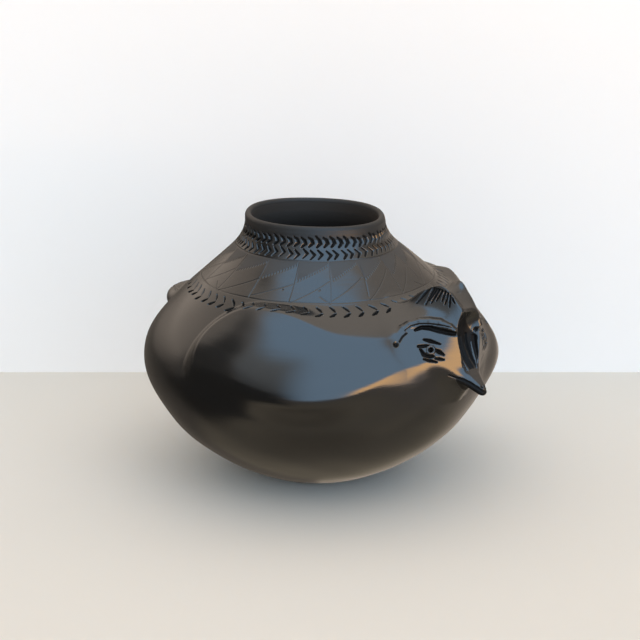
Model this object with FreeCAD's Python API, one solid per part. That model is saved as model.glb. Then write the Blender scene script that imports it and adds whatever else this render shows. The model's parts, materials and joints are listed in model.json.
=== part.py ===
import FreeCAD, Part
import os, math

# Effigy jar of burnished black earthenware, built up from clay rings, with a
# modelled horned-bird head, two wings and a tail on its shoulder.
# Millimetres. +Z up, origin at the centre of the flat foot, z = 0 on the foot.
# The bird faces -Y, its right side is -X, its tail is at +Y.

V = FreeCAD.Vector
os.makedirs("parts", exist_ok=True)

# ---------------------------------------------------------------- dimensions
WALL = 4.2                 # wall of the rings
FLOOR = 5.6                # thickness of the floor pad
FOOT_R = 38.0              # radius of the flat foot
RIM_Z = 190.7              # top of the lip
LIP_R = 2.6                # rounding of the lip
# outer profile (radius, height) from the foot to just under the lip
PROFILE = [(FOOT_R, 0.0), (47.0, 2.3), (58.7, 7.6), (70.3, 13.9), (81.5, 21.4),
           (92.9, 30.5), (103.6, 41.1), (112.8, 53.7), (120.6, 67.9),
           (124.6, 80.0), (125.3, 88.0), (123.4, 99.0), (116.2, 112.0),
           (104.6, 125.2), (93.2, 136.3), (82.2, 145.9), (72.6, 154.4),
           (64.4, 162.0), (57.8, 168.6), (53.4, 175.2), (51.2, 181.8),
           (50.4, 187.4)]
# profile points where one ring of clay ends and the next begins
CUTS = [3, 6, 10, 13, 15, 18, 20]
HEAD_ROLL = 4.0            # the head leans a little to the bird's left
HEAD_WALL = 5.0
PUPIL_D = 3.2              # pierced pupil, also the vent of the hollow head
EAR_HOLE_D = 2.6
BEAK_TIP_F = 149.6         # beak tip, distance in front of the axis
TAIL_TIP = 142.5           # tail tip, distance behind the axis
WING_CENTRE = 62.0         # degrees from the head to the middle of a wing
WING_HALF = 38.0           # half of the angle a wing covers
WING_RISE = 11.0           # how far a wing stands proud of the wall


def P(a, f, z):
    """a: to the bird's left, f: forward from the axis, z: up."""
    return V(a, -f, z)


def spline(points, closed=False):
    c = Part.BSplineCurve()
    c.interpolate(Points=points, PeriodicFlag=closed)
    return c


def polar(r, z, deg):
    t = math.radians(deg)
    return V(r * math.sin(t), -r * math.cos(t), z)


# ------------------------------------------------------------ wall of the jar
outer = spline([V(r, 0, z) for r, z in PROFILE])


def at(i):
    r, z = PROFILE[i]
    return outer.parameter(V(r, 0, z))


def normal(u):
    t = outer.tangent(u)[0]
    n = V(t.z, 0, -t.x)
    n.normalize()
    return n


def inner_point(u, wall=WALL):
    p = outer.value(u)
    n = normal(u)
    q = p - n * wall
    return q


u_first, u_last = at(0), at(len(PROFILE) - 1)
cut_u = [at(i) for i in CUTS]


def thickness(u):
    # a little heavier towards the foot
    k = max(0.0, 1.0 - (u - u_first) / (cut_u[1] - u_first))
    return WALL + 1.2 * k


def inner_run(u0, u1, n=10):
    pts = []
    for i in range(n + 1):
        u = u0 + (u1 - u0) * i / n
        pts.append(inner_point(u, thickness(u)))
    return pts


def revolve(edges):
    w = Part.Wire(Part.__sortEdges__(edges))
    f = Part.Face(w)
    s = f.revolve(V(0, 0, 0), V(0, 0, 1), 360)
    if s.ShapeType != "Solid":
        s = s.Solids[0]
    if s.Volume < 0:
        s.reverse()
    return s


def ring(u0, u1):
    a, b = outer.value(u0), outer.value(u1)
    inn = inner_run(u0, u1)
    edges = [outer.toShape(u0, u1),
             Part.makeLine(b, inn[-1]),
             spline(inn).toShape(),
             Part.makeLine(inn[0], a)]
    return revolve(edges)


def pan(u1):
    # flat floor pad that turns up into the first ring
    b = outer.value(u1)
    us = [u_first + (u1 - u_first) * k / 8.0 for k in range(1, 9)]
    inn = [inner_point(u, thickness(u)) for u in us]
    centre_top = V(0, 0, FLOOR)
    flat_top = V(FOOT_R - 6.0, 0, FLOOR)
    inn = [p for p in inn if p.x > FOOT_R + 4.0]
    curve = Part.BSplineCurve()
    curve.interpolate(Points=[flat_top] + inn)
    edges = [Part.makeLine(V(0, 0, 0), outer.value(u_first)),
             outer.toShape(u_first, u1),
             Part.makeLine(b, inn[-1]),
             curve.toShape(),
             Part.makeLine(flat_top, centre_top),
             Part.makeLine(centre_top, V(0, 0, 0))]
    return revolve(edges)


def rim(u0):
    # last ring, with a rounded lip
    a = outer.value(u0)
    end = outer.value(u_last)
    i0 = inner_point(u0, WALL)
    i1 = inner_point(u_last, WALL + 0.8)
    mid = (end + i1) * 0.5
    top = V(mid.x, 0, RIM_Z)
    run = [inner_point(u0 + (u_last - u0) * k / 4.0,
                       WALL + 0.8 * k / 4.0) for k in range(5)]
    edges = [outer.toShape(u0, u_last),
             Part.Arc(end, top, i1).toShape(),
             spline(run).toShape(),
             Part.makeLine(i0, a)]
    return revolve(edges)


rings = {}
rings["base_pan"] = pan(cut_u[0])
rings["lower_wall_coil"] = ring(cut_u[0], cut_u[1])
rings["belly_coil"] = ring(cut_u[1], cut_u[2])
rings["shoulder_coil"] = ring(cut_u[2], cut_u[3])
rings["upper_shoulder_coil"] = ring(cut_u[3], cut_u[4])
rings["neck_base_coil"] = ring(cut_u[4], cut_u[5])
rings["neck_collar"] = ring(cut_u[5], cut_u[6])
rings["rim_coil"] = rim(cut_u[6])

# the whole jar as if it were filled: everything put on the wall is cut with it
top_pt = outer.value(u_last)
filled = revolve([Part.makeLine(V(0, 0, 0), outer.value(u_first)),
                  outer.toShape(u_first, u_last),
                  Part.makeLine(top_pt, V(0, 0, top_pt.z)),
                  Part.makeLine(V(0, 0, top_pt.z), V(0, 0, 0))])


def loft(wires):
    return Part.makeLoft(wires, True, False)


def closed_wire(points):
    return Part.Wire([spline(points, True).toShape()])


# ---------------------------------------------------------------------- wings
def bump(t):
    """0 at -1 and 1, 1 at 0, smooth."""
    t = max(-1.0, min(1.0, t))
    return math.cos(t * math.pi / 2) ** 2


def wing_rise(frac, s):
    """frac: -1 at the tail end, 1 at the head end. s: 0 low edge, 1 crest."""
    lengthwise = (1.0 - abs(frac) ** 4.0)
    across = math.sin(math.pi * min(1.0, max(0.0, s)) ** 1.25) ** 0.8
    return 1.2 + WING_RISE * lengthwise * across


def wing(side):
    u_low, u_high = at(9) + 0.4 * (at(10) - at(9)), at(14) + 0.55 * (at(15) - at(14))
    wires = []
    n = 10
    for i in range(n + 1):
        frac = -1.0 + 2.0 * i / n
        # tail end first, head end last
        deg = side * (WING_CENTRE - WING_HALF * frac)
        m = 9
        face, back = [], []
        for k in range(m + 1):
            u = u_low + (u_high - u_low) * k / float(m)
            p = outer.value(u)
            nn = normal(u)
            q = p + nn * (wing_rise(frac, k / float(m)) - 2.4)
            face.append(polar(q.x, q.z, deg))
            if k % 3 == 0:
                q = p - nn * 3.4
                back.append(polar(q.x, q.z, deg))
        back.reverse()
        wires.append(Part.Wire([spline(face).toShape(),
                                Part.makeLine(face[-1], back[0]),
                                spline(back).toShape(),
                                Part.makeLine(back[-1], face[0])]))
    return loft(wires)


# ----------------------------------------------------------------------- tail
def tail_shape():
    # rounded tongue, straight behind the axis, narrowing to its tip
    wires = []
    stations = [(104.0, 33.0, 19.0, 104.0), (118.0, 30.0, 16.0, 105.5),
                (129.0, 24.5, 12.5, 107.0), (137.0, 16.0, 8.5, 108.0),
                (141.3, 7.0, 4.0, 108.4)]
    for back, half_w, half_h, zc in stations:
        pts = []
        for k in range(12):
            t = 2 * math.pi * k / 12
            pts.append(V(half_w * math.cos(t), back, zc + half_h * math.sin(t)))
        wires.append(closed_wire(pts))
    body = loft(wires)
    nose = Part.makeSphere(4.0, V(0, TAIL_TIP - 4.0, 108.4))
    return body.fuse(nose).removeSplitter()


# ----------------------------------------------------------------------- head
# half outlines of the head at rising heights: (a, f) from the front middle
# round the cheek to the back, which lies inside the wall of the jar
HEAD_SECTIONS = [
    (84.0, [(0, 123.0), (10, 122.0), (22, 118.0), (33, 111.0), (40, 103.0),
            (42, 94.0), (36, 86.0), (0, 82.0)]),
    (93.0, [(0, 131.5), (9, 131.0), (21, 126.5), (34, 118.5), (44, 109.0),
            (47, 98.0), (40, 88.0), (0, 84.0)]),
    (101.0, [(0, 136.5), (8, 137.2), (20, 129.8), (33, 121.5), (45, 111.5),
             (49, 100.0), (42, 89.0), (0, 84.0)]),
    (111.0, [(0, 132.5), (10, 134.5), (21, 129.0), (32, 122.6), (44, 112.0),
             (49, 100.0), (42, 88.0), (0, 82.0)]),
    (123.0, [(0, 129.0), (12.5, 132.5), (20, 127.5), (28, 121.0), (38, 111.0),
             (44, 98.0), (38, 86.0), (0, 78.0)]),
    (133.0, [(0, 130.5), (11, 133.5), (16, 128.5), (22, 120.0), (29, 109.5),
             (33, 96.0), (28, 84.0), (0, 74.0)]),
    (141.0, [(0, 132.0), (8.5, 132.0), (12, 127.0), (15, 118.0), (18, 107.0),
             (20, 95.0), (17, 82.0), (0, 72.0)]),
    (147.5, [(0, 121.0), (6.0, 120.5), (9.0, 116.5), (10.5, 110.5),
             (11.5, 103.5), (12, 95.0), (10, 84.0), (0, 74.0)]),
]


def head_outer():
    wires = []
    for z, half in HEAD_SECTIONS:
        pts = [P(a, f, z) for a, f in half]
        pts += [P(-a, f, z) for a, f in reversed(half[1:-1])]
        wires.append(closed_wire(pts))
    return loft(wires)


def round_bar(points, radii, n=8):
    """Loft of circles square to the line through the points."""
    wires = []
    for i, p in enumerate(points):
        a = points[max(0, i - 1)]
        b = points[min(len(points) - 1, i + 1)]
        d = b - a
        d.normalize()
        wires.append(Part.Wire([Part.makeCircle(radii[i], p, d)]))
    return loft(wires)


def ear_shape(side):
    # upright ridge that runs along the side of the crown and rises to a tuft
    stations = [(93.0, 14.0, 140.5, 3.4, 8.0), (102.0, 13.4, 149.6, 3.6, 15.0),
                (110.0, 12.2, 154.9, 3.4, 18.0), (117.0, 11.2, 155.7, 3.2, 18.0),
                (124.0, 10.2, 151.4, 3.0, 14.0), (130.0, 9.6, 145.4, 2.8, 9.5),
                (133.6, 9.2, 140.6, 2.2, 6.0)]
    wires = []
    for f, a, top, half, deep in stations:
        a = a * side
        pts = [P(a, f, top), P(a + half * 0.62, f, top - 0.22 * deep),
               P(a + half, f, top - 0.6 * deep), P(a + half * 1.15, f, top - deep),
               P(a, f, top - deep * 1.1), P(a - half * 1.15, f, top - deep),
               P(a - half, f, top - 0.6 * deep),
               P(a - half * 0.62, f, top - 0.22 * deep)]
        wires.append(closed_wire(pts))
    return loft(wires)


def beak_half(upper):
    """Short hooked beak in two halves that meet along the mouth line."""
    base_z, tip_z = (100.0, 88.6)
    # stations from the root inside the head to the tip
    st = [(128.0, 15.0, 108.0, 93.5), (134.0, 11.0, 103.5, 90.5),
          (139.5, 7.4, 99.0, 87.5), (144.5, 4.8, 94.0, 85.0),
          (148.0, 3.0, 90.3, 84.0)]
    wires = []
    for f, half, top, low in st:
        pts = []
        for k in range(12):
            t = 2 * math.pi * k / 12
            zc = 0.5 * (top + low)
            hh = 0.5 * (top - low)
            pts.append(P(half * math.cos(t), f, zc + hh * math.sin(t)))
        wires.append(closed_wire(pts))
    solid = loft(wires)
    nose = Part.makeSphere(3.0, P(0, BEAK_TIP_F - 3.0, 87.4))
    solid = solid.fuse(nose).removeSplitter()
    # mouth plane: from the mouth corner down to the tip
    p0, p1 = P(0, 128.0, 99.5), P(0, 151.0, 86.2)
    d = p1 - p0
    d.normalize()
    up = V(1, 0, 0).cross(d)
    if up.z < 0:
        up = up * -1
    box = Part.makeBox(60, 60, 60)
    # local x across, local y along the mouth line, local z up
    m = FreeCAD.Matrix(1, d.x, up.x, 0, 0, d.y, up.y, 0, 0, d.z, up.z, 0, 0, 0, 0, 1)
    shift = V(-30, -15, 0 if upper else -60)
    box.translate(shift)
    box = box.transformGeometry(m)
    box.translate(p0)
    return solid.common(box)


ROLL_AT = P(0, 0, 122.0)


def roll(shape):
    shape = shape.copy()
    shape.rotate(ROLL_AT, V(0, 1, 0), HEAD_ROLL)
    return shape


head_raw = head_outer()
head_blob = roll(head_raw)

# hollow of the head, open to the inside of the jar through the wall
hollow_pts = [P(0, 62.0, 112.0), P(0, 84.0, 112.0), P(0, 100.0, 113.0),
              P(0, 112.0, 114.0), P(0, 121.0, 114.5)]
hollow = round_bar(hollow_pts, [22.0, 22.0, 20.0, 15.0, 9.0])
hollow = roll(hollow)

eye_at = {}
eye_dir = {}
for side in (-1, 1):
    eye_at[side] = P(29.3 * side, 122.9, 115.9)
    eye_dir[side] = P(0.62 * side, 0.78, 0.12)

pupil_bores = {}
for side in (-1, 1):
    d = V(eye_dir[side])
    d.normalize()
    pupil_bores[side] = roll(Part.makeCylinder(PUPIL_D / 2, 26.0, eye_at[side] - d * 16.0, d))

ear_bores = {}
for side in (-1, 1):
    d = P(0.80 * side, 0.58, 0.15)
    d.normalize()
    p = P(45.1 * side, 105.7, 117.8) - d * 9.0
    ear_bores[side] = roll(Part.makeCylinder(EAR_HOLE_D / 2, 14.0, p, d))

head_solid = head_blob.cut(filled)
shell = head_solid.cut(hollow)
for side in (-1, 1):
    shell = shell.cut(pupil_bores[side]).cut(ear_bores[side])


def largest(shape):
    return max(shape.Solids, key=lambda s: s.Volume)


head_shell = largest(shell)

# the wall of the jar is open into the head
for name in ("belly_coil", "shoulder_coil", "upper_shoulder_coil"):
    rings[name] = largest(rings[name].cut(hollow))

parts = dict(rings)
parts["head_shell"] = head_shell

def pair(name, right):
    """Right-hand piece and its mirror image, cut to the head and leaned."""
    left = right.mirror(V(0, 0, 0), V(1, 0, 0))
    for word, piece in (("right", right), ("left", left)):
        piece = roll(largest(piece.cut(head_raw)))
        if piece.common(filled).Volume > 0.5:
            piece = piece.cut(filled)
        parts[name + "_" + word] = largest(piece)


pair("ear_tuft", ear_shape(-1))

# low roll of clay arched over the eye
arc = [P(-40.4, 104.8, 124.4), P(-36.8, 105.2, 128.2), P(-32.9, 107.1, 130.5),
       P(-28.0, 111.6, 132.4), P(-23.9, 116.8, 132.9), P(-20.0, 122.3, 132.6),
       P(-16.7, 127.9, 130.4), P(-15.0, 131.0, 128.6)]
pair("brow", round_bar(arc, [1.7, 2.3, 2.7, 2.9, 2.9, 2.7, 2.3, 1.7]))

# ring of clay round the pupil
d = V(eye_dir[-1])
d.normalize()
ring_body = Part.makeCylinder(3.4, 9.0, eye_at[-1] - d * 7.6, d)
ring_body = ring_body.cut(Part.makeCylinder(PUPIL_D / 2, 26.0, eye_at[-1] - d * 16.0, d))
pair("eye", ring_body)

up = roll(beak_half(True)).cut(head_blob).cut(filled)
lo = roll(beak_half(False)).cut(head_blob).cut(filled)
parts["upper_beak"] = largest(up)
parts["lower_beak"] = largest(lo)

others = head_blob
for side, word in ((-1, "right"), (1, "left")):
    w = wing(side).cut(filled).cut(others)
    parts["wing_" + word] = largest(w)
parts["tail"] = largest(tail_shape().cut(filled))

for name, shape in parts.items():
    shape.exportStep("parts/%s.step" % name)
    bb = shape.BoundBox
    print("%-20s %-6s solids %d valid %s vol %.0f  x %.1f..%.1f y %.1f..%.1f z %.1f..%.1f" % (
        name, shape.ShapeType, len(shape.Solids), shape.isValid(), shape.Volume,
        bb.XMin, bb.XMax, bb.YMin, bb.YMax, bb.ZMin, bb.ZMax))
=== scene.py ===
import json
import math
import bpy
import numpy as np
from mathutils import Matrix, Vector

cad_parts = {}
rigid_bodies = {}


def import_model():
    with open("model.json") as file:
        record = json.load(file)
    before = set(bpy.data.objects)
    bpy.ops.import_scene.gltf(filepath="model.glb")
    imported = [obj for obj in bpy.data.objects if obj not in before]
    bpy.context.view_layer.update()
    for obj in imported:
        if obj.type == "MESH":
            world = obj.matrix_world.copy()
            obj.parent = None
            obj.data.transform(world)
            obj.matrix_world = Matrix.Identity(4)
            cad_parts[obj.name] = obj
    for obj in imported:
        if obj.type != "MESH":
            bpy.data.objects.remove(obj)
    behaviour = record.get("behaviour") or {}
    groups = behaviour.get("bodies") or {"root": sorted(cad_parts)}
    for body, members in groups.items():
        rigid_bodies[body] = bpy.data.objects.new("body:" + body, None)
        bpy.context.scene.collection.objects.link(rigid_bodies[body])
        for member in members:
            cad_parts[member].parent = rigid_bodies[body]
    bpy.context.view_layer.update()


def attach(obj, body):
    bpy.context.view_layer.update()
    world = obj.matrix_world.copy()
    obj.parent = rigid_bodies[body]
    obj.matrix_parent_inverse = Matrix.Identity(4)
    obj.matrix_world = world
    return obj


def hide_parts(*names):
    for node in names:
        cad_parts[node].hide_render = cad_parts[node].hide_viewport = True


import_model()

# Looks of the burnished black effigy jar. Lengths below are in millimetres
# until a mesh is made. The bird faces -Y, its right side is -X.
# theta: degrees round the axis from the head, negative on the bird's right.
# s: distance along the outer profile, 0 at z = 112, rising towards the lip.
rng = np.random.default_rng(7)

# ============================================================ small numerics
def cubic(xs, ys):
    """Natural cubic spline through the points."""
    xs = np.asarray(xs, float)
    ys = np.asarray(ys, float)
    n = len(xs)
    h = np.diff(xs)
    A = np.zeros((n, n))
    b = np.zeros(n)
    A[0, 0] = A[-1, -1] = 1.0
    for i in range(1, n - 1):
        A[i, i - 1] = h[i - 1]
        A[i, i] = 2 * (h[i - 1] + h[i])
        A[i, i + 1] = h[i]
        b[i] = 6 * ((ys[i + 1] - ys[i]) / h[i] - (ys[i] - ys[i - 1]) / h[i - 1])
    m = np.linalg.solve(A, b)

    def f(x):
        i = np.clip(np.searchsorted(xs, x) - 1, 0, n - 2)
        t = x - xs[i]
        hh = h[i]
        return (ys[i] + t * ((ys[i + 1] - ys[i]) / hh - hh * (2 * m[i] + m[i + 1]) / 6)
                + t * t * m[i] / 2 + t ** 3 * (m[i + 1] - m[i]) / (6 * hh))
    return f


def soft_table(xs, ys, blur=0.35, n=1200):
    """Straight lines through the points with their corners rounded off."""
    xs = np.asarray(xs, float)
    lo, hi = xs[0], xs[-1]
    pad = (hi - lo) * 0.25
    g = np.linspace(lo - pad, hi + pad, n)
    v = np.interp(g, xs, ys)
    sig = blur * (hi - lo) / (len(xs) - 1) / (g[1] - g[0])
    r = int(4 * sig) + 1
    k = np.exp(-0.5 * (np.arange(-r, r + 1) / sig) ** 2)
    k /= k.sum()
    w = np.convolve(np.pad(v, r, mode="edge"), k, mode="valid")
    return lambda x: np.interp(x, g, w)


def rise(t):
    t = np.clip(t, 0.0, 1.0)
    return t * t * (3 - 2 * t)


def smin(a, b, k):
    h = np.clip(k - np.abs(a - b), 0.0, None) / k
    return np.minimum(a, b) - h * h * k * 0.25


def smax(a, b, k):
    h = np.clip(k - np.abs(a - b), 0.0, None) / k
    return np.maximum(a, b) + h * h * k * 0.25


def groove(u, v, a, b, wa, wb=None):
    """0 to 1: a cut from a to b in the (u, v) plane, half-widths wa to wb."""
    wb = wa if wb is None else wb
    dx, dy = b[0] - a[0], b[1] - a[1]
    t = np.clip(((u - a[0]) * dx + (v - a[1]) * dy) / (dx * dx + dy * dy), 0, 1)
    d2 = (u - a[0] - t * dx) ** 2 + (v - a[1] - t * dy) ** 2
    w = wa + (wb - wa) * t
    return np.clip(1 - np.sqrt(d2 + 0.012) / w, 0, None) ** 1.12


# ======================================================== profile of the jar
WALL = 4.2
RIM_Z = 190.7
PROFILE = [(38.0, 0.0), (47.0, 2.3), (58.7, 7.6), (70.3, 13.9), (81.5, 21.4),
           (92.9, 30.5), (103.6, 41.1), (112.8, 53.7), (120.6, 67.9),
           (124.6, 80.0), (125.3, 88.0), (123.4, 99.0), (116.2, 112.0),
           (104.6, 125.2), (93.2, 136.3), (82.2, 145.9), (72.6, 154.4),
           (64.4, 162.0), (57.8, 168.6), (53.4, 175.2), (51.2, 181.8),
           (50.4, 187.4)]
pr = np.array(PROFILE)
chord = np.concatenate([[0], np.cumsum(np.hypot(*np.diff(pr, axis=0).T))])
fr, fz = cubic(chord, pr[:, 0]), cubic(chord, pr[:, 1])
cc = np.linspace(0, chord[-1], 9000)
TR, TZ = fr(cc), fz(cc)
seg = np.hypot(np.diff(TR), np.diff(TZ))
TS = np.concatenate([[0], np.cumsum(seg)])
TS -= np.interp(112.0, TZ, TS)
tr, tz = np.gradient(TR, TS), np.gradient(TZ, TS)
tl = np.hypot(tr, tz)
tr, tz = tr / tl, tz / tl
NR, NZ = tz, -tr                       # outward normal
KAP = np.gradient(np.arctan2(tz, tr), TS)


def s_of(z):
    return np.interp(z, TZ, TS)


def r_at(s):
    return np.interp(s, TS, TR)


def lean(p):
    """The neck leans a little and the lip is not quite level."""
    x, y, z = p[..., 0], p[..., 1], p[..., 2]
    g = rise((z - 150.0) / 41.0)
    right = 0.643 * x - 0.766 * y
    sq = 1 + 0.021 * g * np.cos(4 * (np.arctan2(x, -y) + math.radians(5.0)))
    q = p.copy()
    q[..., 0] = x * sq - 0.643 * 2.0 * g
    q[..., 1] = y * sq + 0.766 * 2.0 * g
    q[..., 2] = z - 0.0279 * np.clip(right + 50.0, 0, None) * g
    return q


def on_wall(theta, s, d):
    """Point at angle theta (deg), profile distance s, d outside the wall."""
    t = np.radians(theta)
    r = np.interp(s, TS, TR) + np.interp(s, TS, NR) * d
    z = np.interp(s, TS, TZ) + np.interp(s, TS, NZ) * d
    return lean(np.stack([r * np.sin(t), -r * np.cos(t), z], -1))


# ================================================= cut and incised decoration
N_SH, N_NK = 61, 64
jit_sh = rng.normal(0, 1, (N_SH, 6))
jit_n1 = rng.normal(0, 1, (N_NK, 6))
jit_n2 = rng.normal(0, 1, (N_NK, 6))


def band(theta, s, count, phase, jit, maker):
    """Repeats maker(u, v, jitter) round the jar and keeps the deepest."""
    pitch = 360.0 / count
    k = np.floor((theta - phase) / pitch)
    out = np.zeros_like(theta)
    for dk in (-1, 0, 1):
        idx = (k + dk)
        j = jit[idx.astype(int) % count]
        u = (theta - phase - (idx + 0.5) * pitch) * math.pi / 180 * r_at(s)
        out = np.maximum(out, maker(u, s, j))
    return out


S = {z: float(s_of(z)) for z in (136.1, 137.3, 138.6, 139.3, 140.7, 142.9, 145.0,
                                 168.0, 169.4, 172.2, 175.0, 176.9, 179.4, 181.6,
                                 183.4)}


def shoulder_cuts(u, v, j):
    du, dv = 0.35 * j[..., 0], 0.35 * j[..., 1]
    ln = 1 + 0.12 * j[..., 2]
    x, y = u - du, v - dv
    a = groove(x / ln, y, (-1.9, S[142.9] - 0.4), (0.5, S[140.7] + 0.5), 0.55, 1.15)
    b = groove(x / ln, y, (0.5, S[140.7] + 0.5), (1.8, S[139.3] + 0.5), 1.15, 0.6)
    c = groove(x / ln, y, (2.2, S[138.6] + 0.0), (-0.1, S[137.3] + 0.0), 0.65, 1.35)
    d = groove(x / ln, y, (-0.1, S[137.3] + 0.0), (-2.4, S[136.1] + 0.5), 1.35, 0.6)
    return np.maximum(0.95 * np.maximum(a, b), 1.15 * np.maximum(c, d))


def neck_cuts_1(u, v, j):
    x, y = u - 0.25 * j[..., 0], v - 0.3 * j[..., 1]
    a = groove(x, y, (-1.5, S[183.4] + 0.4 * j[..., 3]), (0.7, S[181.6]), 0.8, 1.5)
    b = groove(x, y, (0.7, S[181.6]), (1.3, S[179.4]), 1.5, 1.6)
    c = groove(x, y, (1.3, S[179.4]), (-1.3, S[176.9]), 1.6, 0.9)
    return np.maximum(np.maximum(a, b), c)


def neck_cuts_2(u, v, j):
    x, y = u - 0.3 * j[..., 0], v - 0.3 * j[..., 1]
    a = groove(x, y, (-1.5, S[175.0]), (1.3, S[172.2]), 0.7, 1.25)
    b = groove(x, y, (1.3, S[172.2]), (-1.5, S[169.4]), 1.25, 0.7)
    return np.maximum(a, b)


FEET = [-160, -141.5, -123, -106, -84.4, -63.8, -43.8, -24.9, -5.5, 13.5, 32.5,
        51.5, 70.5, 89.5, 108.5, 127.5, 146.5, 165.3, 182.7]
PLANE_R = 71.0                         # the panel is drawn on a cone this wide


def panel(theta, s):
    """(depth of the incised lines, 0..1 matte) on the band under the neck."""
    deep = np.zeros_like(theta)
    matte = np.zeros_like(theta)
    v = s
    top, low = S[168.0], S[145.0]
    k = PLANE_R * math.pi / 180

    def line(t0, z0, t1, z1, w=0.52):
        t0w = (t0 + 180) % 360 - 180
        for off in (-360, 0, 360):
            a = ((t0w + off) * k, float(s_of(z0)))
            b = ((t0w + off + t1 - t0) * k, float(s_of(z1)))
            lo, hi = min(a[0], b[0]) - 2, max(a[0], b[0]) + 2
            m = (theta * k > lo) & (theta * k < hi)
            if m.any():
                deep[m] = np.maximum(deep[m], groove(theta[m] * k, v[m], a, b, w))

    n = len(FEET)
    for i, t in enumerate(FEET):
        nxt = FEET[(i + 1) % n] + (360 if i == n - 1 else 0)
        nz = 146.0 + 0.9 * jit_sh[i, 0]
        up = 1.4 + 0.8 * abs(jit_sh[i, 1])
        if i == 7:
            line(t, 146.9, -22.7, 157.3)
            line(-22.7, 157.3, -21.5, 164.5)
        else:
            line(t, 145.2, t + up, 167.0)
        line(t + 0.1, nz, nxt + 0.3, 158.0 + 1.2 * jit_sh[i, 2])
        if i in (4, 10, 14):
            line(t, 145.5, t + 0.6, 157.0)
        if i in (3, 6, 9, 13, 17):
            line(t - 5.1, 148.5, t - 0.4, 144.8, 0.8)
        # matte triangle over a serrated edge
        t0 = t + up * 0.6 + 0.9
        t1 = nxt + 1.2
        z0, z1 = (157.8 + 0.8 * jit_sh[i, 3]), 166.4
        for off in (-360, 0, 360):
            ua, ub = (t0 + off) * k, (t1 + off) * k
            m = (theta * k > ua - 0.3) & (theta * k < ub + 0.3) & (v < top - 0.3)
            if not m.any():
                continue
            x = (theta[m] * k - ua) / (ub - ua)
            edge = s_of(z0) + (s_of(z1) - s_of(z0)) * x
            teeth = 12
            ph = (x * teeth) % 1.0
            on = (x > 0.02) & (x < 0.97)
            slit = (np.clip(1 - np.abs(ph - 0.5) / 0.26, 0, 1) * on
                    * np.clip((v[m] - edge + 2.3) / 0.5, 0, 1) * np.clip((edge + 0.3 - v[m]) / 0.4, 0, 1))
            deep[m] = np.maximum(deep[m], 1.1 * slit)
            inside = np.clip((v[m] - edge) / 0.25 + 0.5, 0, 1)
            side = np.clip((theta[m] * k - ua) / 0.2, 0, 1)
            matte[m] = np.maximum(matte[m], inside * side)
    for t, z, w in ((-68.3, 151.5, 0.75), (-49.1, 152.0, 0.95), (31.0, 151.0, 0.8),
                    (88.0, 152.0, 0.8), (128.0, 151.5, 0.8)):
        d2 = (theta * k - t * k) ** 2 + (v - s_of(z)) ** 2
        deep = np.maximum(deep, 1.3 * np.clip(1 - d2 / w ** 2, 0, None))
    return deep, matte


def decoration(theta, s):
    """(displacement in mm, matte 0..1, mask 0..1 of the cuts, which also paints shade into them) of the wall at
    (theta, s).
    """
    d = np.zeros_like(theta)
    matte = np.zeros_like(theta)
    cut = np.zeros_like(theta)
    # every band of cuts and incised line below also sets the cut mask, which paints shade into the grooves
    m = (s > S[136.1] - 2.5) & (s < S[142.9] + 2.5)
    if m.any():
        g = band(theta[m], s[m], N_SH, 0.9, jit_sh, shoulder_cuts)
        d[m] -= 1.45 * g
        cut[m] = np.maximum(cut[m], g)
    m = (s > S[176.9] - 3) & (s < S[183.4] + 3)
    if m.any():
        g = band(theta[m], s[m], N_NK, 0.0, jit_n1, neck_cuts_1)
        d[m] -= 1.5 * g
        cut[m] = np.maximum(cut[m], g)
    m = (s > S[169.4] - 3) & (s < S[175.0] + 2)
    if m.any():
        g = band(theta[m], s[m], N_NK, 1.2, jit_n2, neck_cuts_2)
        d[m] -= 1.2 * g
        cut[m] = np.maximum(cut[m], g)
    for zz, w, dep in ((145.0, 0.55, 0.2), (168.0, 0.65, 0.3)):
        wob = 0.25 * np.sin(np.radians(theta) * 5 + zz) + 0.15 * np.sin(np.radians(theta) * 11)
        g = np.clip(1 - ((s - S[zz] - wob) / w) ** 2, 0, None)
        d -= dep * g
        cut = np.maximum(cut, 0.4 * g)
    m = (s > S[145.0] - 2) & (s < S[168.0] + 1)
    if m.any():
        g, mt = panel(theta[m], s[m])
        d[m] -= 0.24 * g
        cut[m] = np.maximum(cut[m], 0.41 * np.minimum(1.6 * g, 1.0))
        matte[m] = mt
    # step where the plain lip begins, and the slow waves of a hand-built wall
    d += 0.2 * rise((s - S[183.4] - 0.4) / 2.0)
    q = np.radians(theta)
    fade = rise((s + 150) / 60.0)
    d += fade * 0.16 * (np.sin(3 * q + s * 0.05) + 0.6 * np.sin(7 * q - s * 0.11)
                        + 0.4 * np.sin(13 * q + s * 0.19))
    d = np.where(s < TS[0] + 14, d * rise((s - TS[0] - 2) / 12), d)
    return d, matte, cut


# ================================================================ the wings
_top = soft_table([14, 30, 50, 58, 66, 80, 100],
                  [46, 46, 46, 46.5, 46.7, 46.7, 46.7], 0.5)
_wtop = soft_table([14, 30, 42, 50, 57, 64, 72, 100], [36, 36, 33, 25, 17, 13.5, 13, 13], 0.4)
# lower flank: full height at _hi, gone at _lo (profile distances)
_hi = soft_table([8, 15, 25, 30.5, 41, 55, 65, 75, 82, 92, 100],
                 [-9, -4, -3.5, -9, -18, -20, -16, -4, 3, 6, 6], 0.5)
_lo = soft_table([8, 25, 41, 55, 70, 82, 92, 100],
                 [-36, -36.5, -43, -46, -42, -31, -25, -24], 0.5)
_high = soft_table([8, 15, 25, 33, 42, 52, 62, 76, 84, 92, 100],
                   [7, 7.4, 8.5, 8.2, 7.7, 8.2, 8.7, 8.4, 7.6, 6.6, 6.4], 0.4)
_ease_in = soft_table([8, 20, 32, 45, 60, 100], [0.6, 0.55, 0.6, 0.6, 0.45, 0.4], 0.4)
_ease_out = soft_table([8, 30, 45, 60, 100], [0.12, 0.14, 0.3, 0.45, 0.45], 0.4)
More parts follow.
